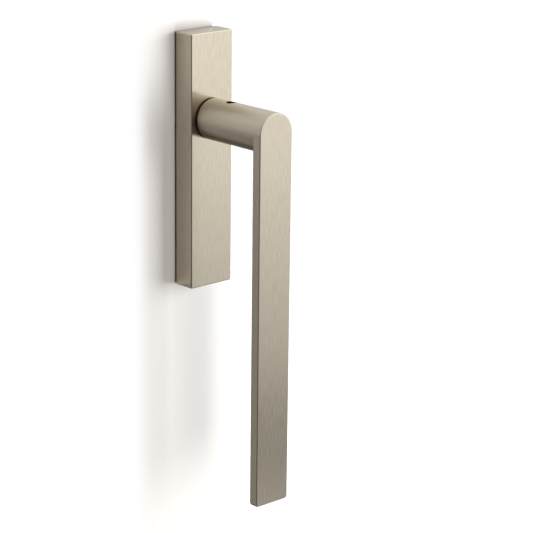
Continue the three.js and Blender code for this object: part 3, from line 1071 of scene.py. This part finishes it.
bpy.ops.object.select_all(action="DESELECT")
bpy.ops.mesh.primitive_uv_sphere_add(segments=48, ring_count=24, radius=BACKDROP_RADIUS)
backdrop = bpy.context.object
backdrop.name = "studio_backdrop"
backdrop.visible_diffuse = False
backdrop.visible_glossy = False
backdrop.visible_transmission = False
backdrop.visible_shadow = False
material, tree = new_material("studio_backdrop_white")
glow = node(tree, "ShaderNodeEmission", Strength=1.0)
node(tree, "ShaderNodeOutputMaterial", Surface=glow.outputs[0])
material.cycles.emission_sampling = "NONE"
backdrop.data.materials.append(material)
print("backdrop radius:", BACKDROP_RADIUS, "m")

# %% [markdown]
# ## Light
#
# Brushed metal shows its surroundings more than its lamps, so the two are made apart. The room is
# what the metal mirrors: a bright softbox fills the front right at eye height and ends a little below
# it, the rest of the room is dim, and a warm grey lies behind the door's plane. The lamps light only
# the floor, the door's face and the dull nylon and rubber. A wide softbox from the right gives the
# broad soft shadow at the plate's left, and a smaller low one in front gives the grip's own shadow
# under the plate. A third one, behind the door, lights the gasket at the back, and a broad light from
# straight above stands for the ceiling.

# %% Build the room that the metal mirrors
world = bpy.data.worlds.new("studio_surroundings")
bpy.context.scene.world = world
world.use_nodes = True
world.cycles_visibility.diffuse = False
tree = world.node_tree
tree.nodes.clear()
direction = node(tree, "ShaderNodeTexCoord").outputs["Generated"]
split = node(tree, "ShaderNodeSeparateXYZ", Vector=direction)
climb = node(
    tree, "ShaderNodeMapRange", Value=split.outputs["Z"], From_Min=-1.0, From_Max=1.0
)
SHADE_TINT = (1.0, 0.93, 0.91)


def sky_stops(levels):
    """Stops for brightness at heights in degrees. The dimmer it is, the warmer it gets."""
    stops = []
    for angle, value in levels:
        share = min(value, 1)
        colour = [value * (tint + (1 - tint) * share) for tint in SHADE_TINT]
        stops.append(((math.sin(math.radians(angle)) + 1) / 2, colour))
    return {"stops": stops}


def blend(first, second, axis, start, end):
    """Goes from the first colour to the second as the direction's X or Y goes from start to end."""
    share = node(
        tree,
        "ShaderNodeMapRange",
        {"interpolation_type": "SMOOTHSTEP"},
        Value=split.outputs[axis],
        From_Min=start,
        From_Max=end,
    )
    return node(
        tree,
        "ShaderNodeMix",
        {"data_type": "RGBA"},
        _0=share.outputs[0],
        _6=first,
        _7=second,
    ).outputs[2]


SOFTBOX = [
    (-60, 0.85),
    (-35, 0.6),
    (-22.6, 0.9),
    (-21, 0.02),
    (-19.4, 0.88),
    (-18, 1.03),
    (-16, 1.14),
    (-13, 1.54),
    (-9, 1.74),
    (5, 2.4),
    (35, 2.2),
    (60, 1.2),
]
DIM_ROOM = [(-60, 0.3), (-20, 0.14), (0, 0.25), (30, 0.6), (60, 1.0)]
BEHIND_LEFT = [
    (-60, 0.2),
    (-25, 0.42),
    (-16, 0.45),
    (-13, 0.52),
    (-10, 0.6),
    (0, 0.8),
    (15, 0.85),
    (35, 1.08),
    (60, 1.2),
]
BEHIND_RIGHT = [(-60, 0.15), (-20, 0.2), (0, 0.6), (16, 0.93), (40, 1.15), (60, 1.2)]
dim_room, softbox, behind_left, behind_right = (
    node(tree, "ShaderNodeValToRGB", sky_stops(levels), Fac=climb.outputs[0]).outputs[0]
    for levels in (DIM_ROOM, SOFTBOX, BEHIND_LEFT, BEHIND_RIGHT)
)
front = blend(dim_room, softbox, "X", -0.2, 0.5)
behind = blend(behind_left, behind_right, "X", -0.5, 0.1)
surround = blend(front, behind, "Y", -0.15, 0.15)
room = node(tree, "ShaderNodeBackground", Color=surround, Strength=1.0)
node(tree, "ShaderNodeOutputWorld", Surface=room.outputs[0])
print("room:", len(tree.nodes), "nodes")

# %% Hang the lamps


def toward(azimuth, elevation):
    """The direction from the handle at these degrees: azimuth to the right of straight in front."""
    turned = math.radians(azimuth)
    raised = math.radians(elevation)
    level = math.cos(raised)
    return Vector((math.sin(turned) * level, -math.cos(turned) * level, math.sin(raised)))


def add_lamp(name, kind, direction, distance, power, tint=(1, 1, 1)):
    """A lamp that shines from this direction on the handle. The metal doesn't mirror it."""
    lamp = bpy.data.objects.new(name, bpy.data.lights.new(name, kind))
    bpy.context.collection.objects.link(lamp)
    lamp.location = direction * distance
    lamp.rotation_euler = direction.to_track_quat("Z", "Y").to_euler()
    lamp.data.energy = power
    lamp.data.color = tint
    lamp.visible_glossy = False
    lamp.visible_camera = False
    return lamp


WARM_FILL = (1, 0.94, 0.91)
CEILING_WHITE = (1, 0.975, 0.96)
KEY_WIDTH = 1.55
KEY_HEIGHT = 1.0
LOW_WIDTH = 0.28
LOW_HEIGHT = 0.7
REAR_SIZE = 1.0
CEILING_SPREAD = math.radians(12)

key = add_lamp("key_softbox", "AREA", toward(41, -1), 1.2, 21.5)
key.data.shape = "RECTANGLE"
key.data.size = KEY_WIDTH
key.data.size_y = KEY_HEIGHT
low = add_lamp("low_softbox", "AREA", toward(-4, -14), 1.0, 4.2, WARM_FILL)
low.data.shape = "RECTANGLE"
low.data.size = LOW_WIDTH
low.data.size_y = LOW_HEIGHT
rear = add_lamp("rear_fill", "AREA", toward(180, 30), 1.2, 6.5)
rear.data.size = REAR_SIZE
top = add_lamp("ceiling_light", "SUN", Vector((0, 0, 1)), 1.0, 3.9, CEILING_WHITE)
top.data.angle = CEILING_SPREAD
print("lamps in watts:", {lamp.name: round(lamp.data.energy, 1) for lamp in (key, low, rear)})

# %% [markdown]
# ## The camera
#
# The camera looks from the left and a little above, through a long lens, at a point below the neck.
# It is placed by angles and a distance round the handle, so each number means one thing.

# %% Place the camera
AZIMUTH = -42.4
ELEVATION = 16.14
ROLL = 0.64
DISTANCE = 1.2964
LENS = 140.56
AIM_RIGHT = 0.04452
AIM_UP = -0.09493
SENSOR_WIDTH = 36
NEAREST = 0.05
FARTHEST = 50

back = toward(AZIMUTH, ELEVATION)
right = Vector((0, 0, 1)).cross(back).normalized()
up = back.cross(right)
roll = math.radians(ROLL)
tilted_right = math.cos(roll) * right + math.sin(roll) * up
tilted_up = math.cos(roll) * up - math.sin(roll) * right
camera_data = bpy.data.cameras.new("camera")
camera_data.lens = LENS
camera_data.sensor_width = SENSOR_WIDTH
camera_data.clip_start = NEAREST
camera_data.clip_end = FARTHEST
camera = bpy.data.objects.new("camera", camera_data)
bpy.context.collection.objects.link(camera)
turn = Matrix((tilted_right, tilted_up, back)).transposed().to_4x4()
place = tilted_right * AIM_RIGHT + tilted_up * AIM_UP + back * DISTANCE
camera.matrix_world = Matrix.Translation(place) @ turn
bpy.context.scene.camera = camera
bpy.context.scene.view_settings.view_transform = "Standard"
print("camera at", [round(v, 3) for v in place])
